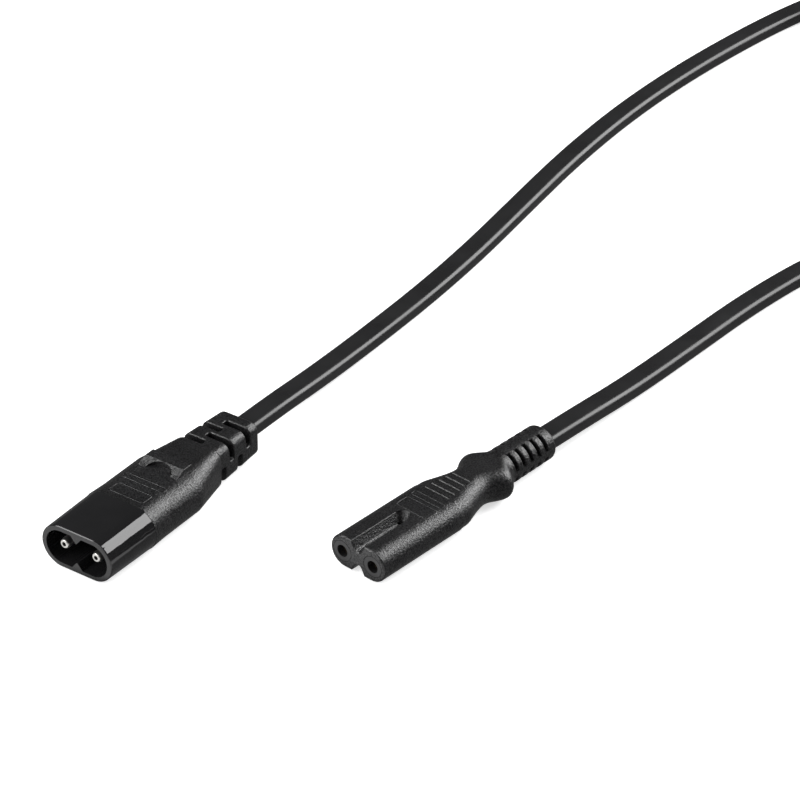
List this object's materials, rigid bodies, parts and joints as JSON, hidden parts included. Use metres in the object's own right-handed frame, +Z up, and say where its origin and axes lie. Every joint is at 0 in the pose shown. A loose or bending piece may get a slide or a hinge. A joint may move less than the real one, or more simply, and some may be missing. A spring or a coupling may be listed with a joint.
{
  "type": "figure eight extension lead",
  "caption": "Two pole mains lead in black: a shrouded plug with hollow pins and a figure eight socket, joined by a flat cord.",
  "frame": {"origin": "on the surface that the lead lies on, under the middle of the two connectors", "axes": "+Z up; the socket's axis runs along Y with its open face towards -Y; the plug lies to the -X side, turned 7.03 degrees about Z"},
  "size_m": [0.1018, 0.3354, 0.0123],
  "materials": {
    "overmould": "fine spark texture",
    "carrier": "satin",
    "shroud": "gloss",
    "pin": "nickel plate",
    "contact": "bright",
    "strands": "bare copper",
    "brown_core": "satin",
    "blue_core": "satin",
    "sheath": "satin"
  },
  "bodies": {
    "root": {"socket_body": "overmould", "socket_insert": "carrier", "plug_body": "overmould", "plug_insert": "shroud", "cord_socket_side": "sheath", "cord_plug_side": "sheath", "cord_coil": "sheath", "socket_contact_live": "contact", "socket_strands_live": "strands", "socket_core_live": "brown_core", "plug_pin_live": "pin", "plug_strands_live": "strands", "plug_core_live": "brown_core", "socket_contact_neutral": "contact", "socket_strands_neutral": "strands", "socket_core_neutral": "blue_core", "plug_pin_neutral": "pin", "plug_strands_neutral": "strands", "plug_core_neutral": "blue_core"}
  },
  "joints": []
}
